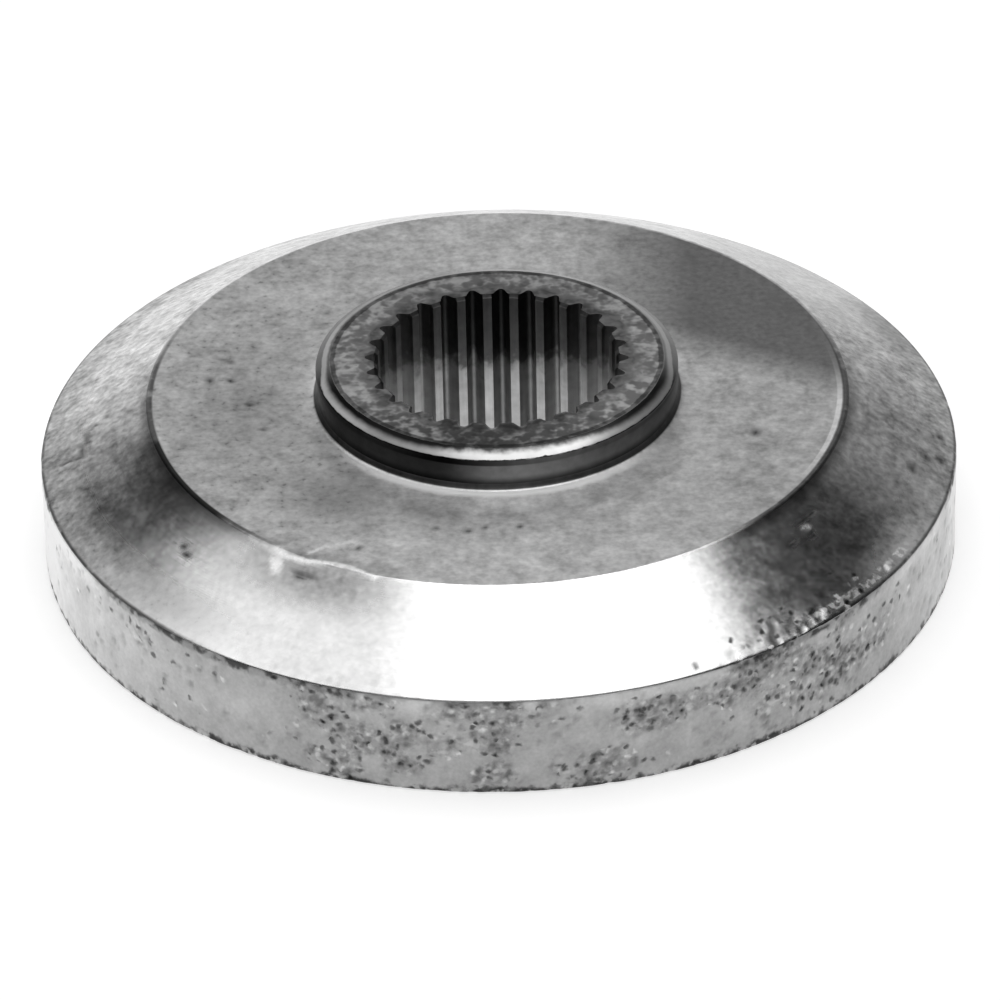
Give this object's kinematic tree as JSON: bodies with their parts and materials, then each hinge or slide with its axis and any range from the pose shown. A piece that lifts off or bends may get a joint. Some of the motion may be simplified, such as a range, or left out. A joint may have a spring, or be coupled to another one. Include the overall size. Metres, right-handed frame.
{
  "type": "mower blade adapter",
  "caption": "Turned steel disc with a coned shoulder, a flat blade face and a short hub with a splined hole, which carries a mower blade on its spindle.",
  "frame": {"origin": "on the spindle axis, in the plane of the flat blade face", "axes": "+Z along the spindle axis, from the blade face towards the hub; -Y towards the viewer of the picture; +X to the viewer's right"},
  "size_m": [0.0826, 0.0826, 0.0186],
  "materials": {
    "turned_steel": "bright turned plateau, cone and hub; rough, pitted grey rim; broached spline"
  },
  "bodies": {
    "root": {"blade_adapter": "turned_steel"}
  },
  "joints": []
}
